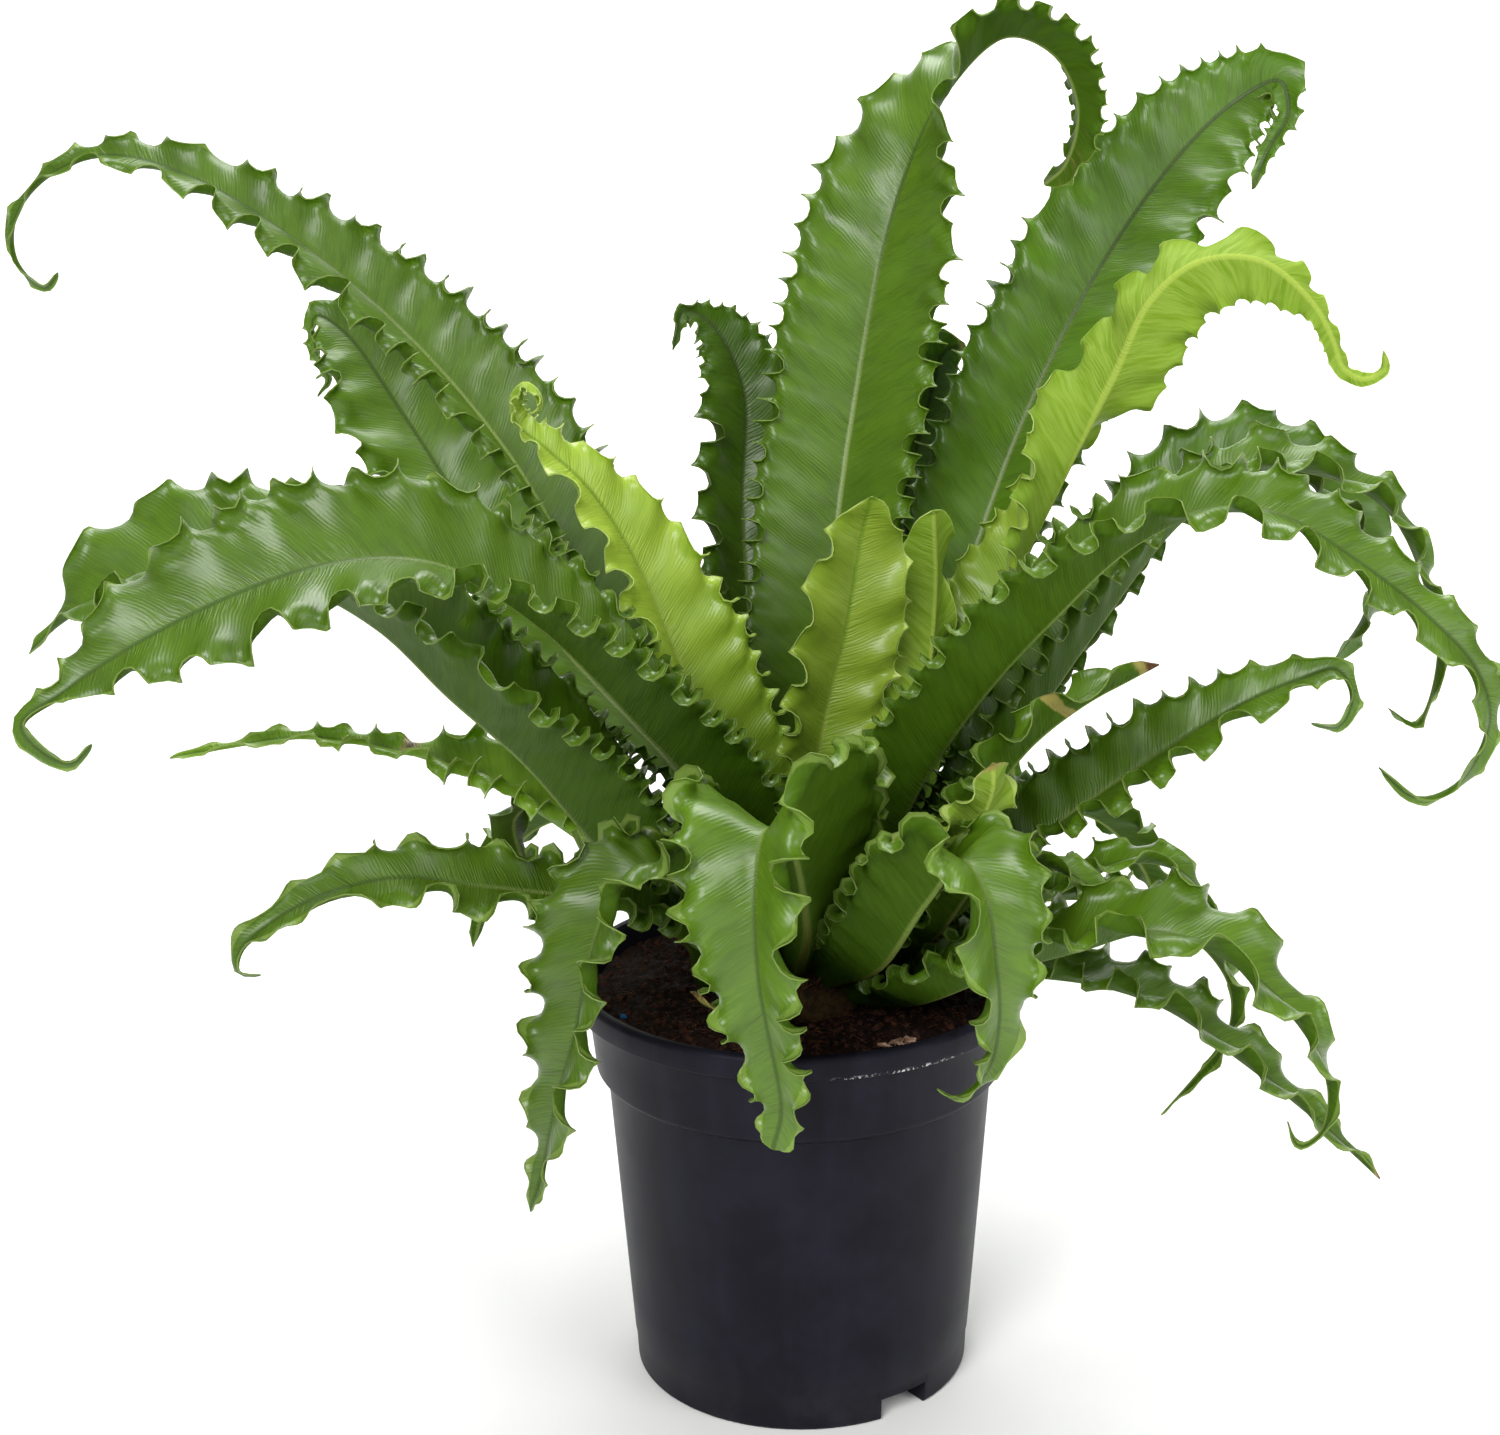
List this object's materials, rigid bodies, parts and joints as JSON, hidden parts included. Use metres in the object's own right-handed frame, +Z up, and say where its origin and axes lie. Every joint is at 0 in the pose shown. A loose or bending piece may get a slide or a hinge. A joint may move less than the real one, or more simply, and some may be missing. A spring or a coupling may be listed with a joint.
{
  "type": "potted osaka bird's nest fern",
  "caption": "Bird's nest fern with long, waved and curled fronds arching from a central crown, in a soil-filled black plastic nursery pot.",
  "frame": {"origin": "On the pot's axis, at the middle of its flat underside, which rests on the surface", "axes": "+Z up along the pot's axis, -Y towards the side shown in the picture, +X to the right of that view"},
  "size_m": [0.5408, 0.3731, 0.5035],
  "materials": {
    "black_plastic": "satin",
    "peat_soil": "matte",
    "crown_fibre": "matte",
    "frond_dark": "satin",
    "frond_mid": "satin",
    "frond_light": "satin",
    "frond_young": "satin"
  },
  "bodies": {
    "root": {"pot": "black_plastic", "soil": "peat_soil", "crown": "crown_fibre", "frond_left_long": "frond_mid", "frond_left_rear": "frond_mid", "frond_left_front_arch": "frond_mid", "frond_left_mid": "frond_mid", "frond_left_small": "frond_light", "frond_left_low": "frond_mid", "frond_left_rear_hanging": "frond_dark", "frond_tall_centre": "frond_mid", "frond_rear_centre_left": "frond_dark", "frond_rear_centre_right": "frond_dark", "frond_tall_right": "frond_dark", "frond_twisted_right": "frond_young", "frond_young_left": "frond_young", "frond_young_centre": "frond_young", "frond_young_right": "frond_young", "frond_bud": "frond_young", "frond_hanging_left": "frond_mid", "frond_hanging_front": "frond_mid", "frond_hanging_right": "frond_mid", "frond_soil_stub": "frond_dark", "frond_right_front_arch": "frond_mid", "frond_right_mid_arch": "frond_mid", "frond_right_rear_arch": "frond_dark", "frond_right_rising": "frond_mid", "frond_right_torn": "frond_mid", "frond_right_short": "frond_mid", "frond_right_thin": "frond_mid", "frond_right_low_arch": "frond_mid", "frond_right_low": "frond_mid", "frond_right_low_rear": "frond_mid", "frond_right_stub": "frond_mid", "frond_rear_1": "frond_mid", "frond_rear_2": "frond_mid", "frond_rear_3": "frond_mid", "frond_rear_4": "frond_mid", "frond_rear_5": "frond_mid"}
  },
  "joints": []
}
